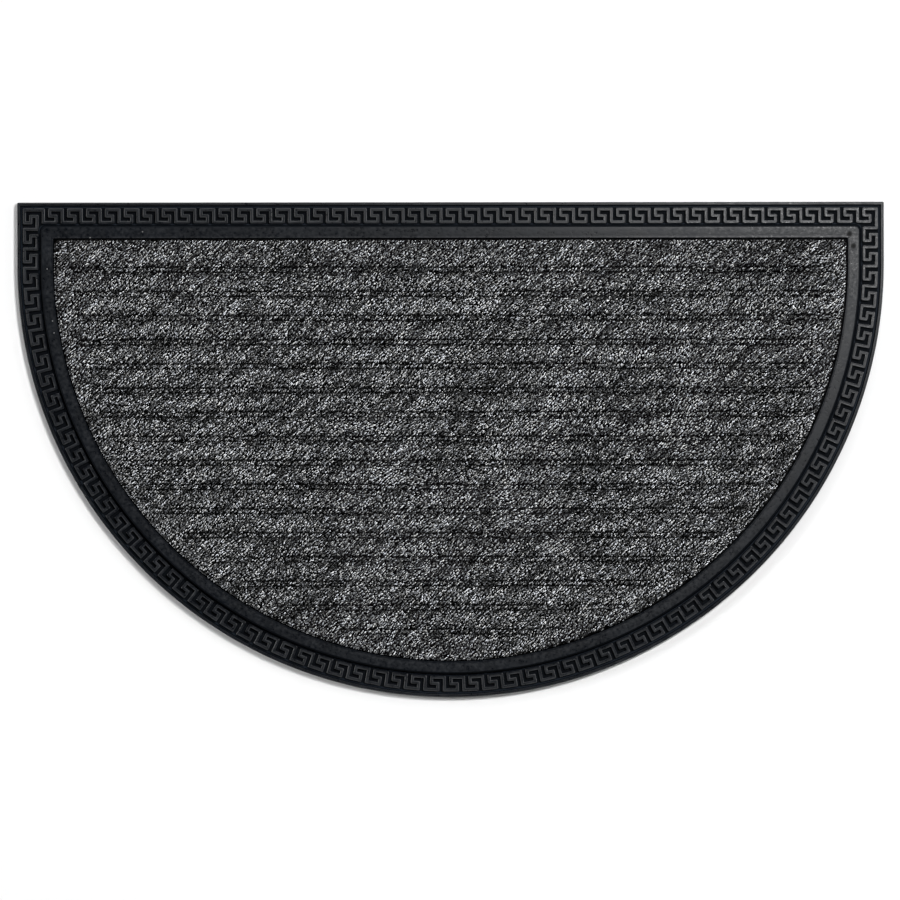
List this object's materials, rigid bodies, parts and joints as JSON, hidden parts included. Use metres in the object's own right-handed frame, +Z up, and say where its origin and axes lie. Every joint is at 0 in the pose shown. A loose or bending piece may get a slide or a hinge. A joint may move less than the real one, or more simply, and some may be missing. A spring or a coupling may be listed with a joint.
{
  "type": "half-round doormat",
  "caption": "Half-round doormat with a ribbed carpet insert in a moulded rubber tray, edged with a raised Greek key border.",
  "frame": {"origin": "middle of the mat's 700 x 400 mm box, on the surface that it lies on", "axes": "+X along the straight edge, +Y towards the straight edge, +Z up out of the carpet"},
  "size_m": [0.7, 0.4, 0.0075],
  "materials": {
    "rubber": "matt moulded rubber, dark grey to black",
    "carpet": "needled ribbed pile, charcoal with pale fibres"
  },
  "bodies": {
    "root": {"rubber_base": "rubber", "carpet_insert": "carpet"}
  },
  "joints": []
}
